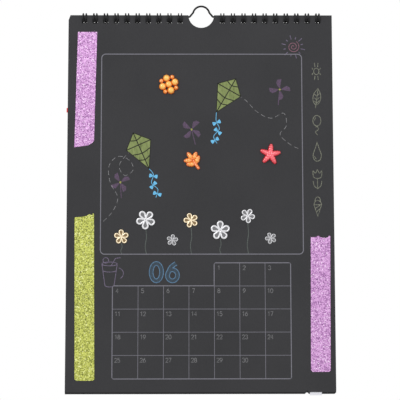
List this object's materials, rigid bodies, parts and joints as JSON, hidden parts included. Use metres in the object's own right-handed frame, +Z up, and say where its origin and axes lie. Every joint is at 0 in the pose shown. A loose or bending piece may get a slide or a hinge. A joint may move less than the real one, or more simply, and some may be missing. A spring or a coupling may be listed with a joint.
{
  "type": "wall calendar",
  "caption": "Black card wall calendar with a wire-bound top edge, thumb notch and wire hanger; its front page has glitter tape, raised stickers and a date grid.",
  "frame": {"origin": "inside top of the wire hanger's hump, where the nail or hook carries it", "axes": "+Z up; the front page faces -Y; +X to the right seen from the front"},
  "size_m": [0.2109, 0.0106, 0.3083],
  "materials": {
    "black_card_front": "matte, fine fibre",
    "black_card": "matte",
    "black_board": "matte",
    "comb_wire": "gloss nylon coat",
    "hanger_wire": "gloss",
    "pale_line": "matte print",
    "olive_ink": "matte ink",
    "pink_glitter": "glitter",
    "green_glitter": "glitter",
    "red_gem": "gloss",
    "orange_gem": "gloss",
    "silver_flower": "gloss",
    "gold_flower": "gloss",
    "red_paper": "matte",
    "pale_paper": "matte"
  },
  "bodies": {
    "hanger": {"hanger": "hanger_wire"},
    "binding": {"following_pages": "black_card", "back_board": "black_board", "turned_pages": "black_card", "wire_comb_left": "comb_wire", "wire_comb_right": "comb_wire", "red_slip": "red_paper", "pale_slip": "pale_paper"},
    "june_page": {"june_page": "black_card_front", "picture_border": "pale_line", "date_grid": "pale_line", "kite_fields": "olive_ink", "glitter_tape_pink_upper": "pink_glitter", "glitter_tape_green": "green_glitter", "glitter_tape_pink_lower": "pink_glitter", "star_sticker_red": "red_gem", "rosette_sticker_orange": "orange_gem", "sprig_sticker_orange": "orange_gem", "flower_sticker_1": "gold_flower", "flower_sticker_2": "silver_flower", "flower_sticker_3": "silver_flower", "flower_sticker_4": "gold_flower", "flower_sticker_5": "silver_flower", "flower_sticker_6": "silver_flower", "flower_sticker_7": "silver_flower"}
  },
  "joints": [
    {"name": "hanger_swing", "type": "hinge", "parent": "hanger", "child": "binding", "pos_m": [0, 0, -0.0078], "axis": [1, 0, 0], "range_deg": [-90, 90]},
    {"name": "page_turn", "type": "hinge", "parent": "binding", "child": "june_page", "pos_m": [0, 0, -0.00965], "axis": [-1, 0, 0], "range_deg": [0, 140]}
  ]
}
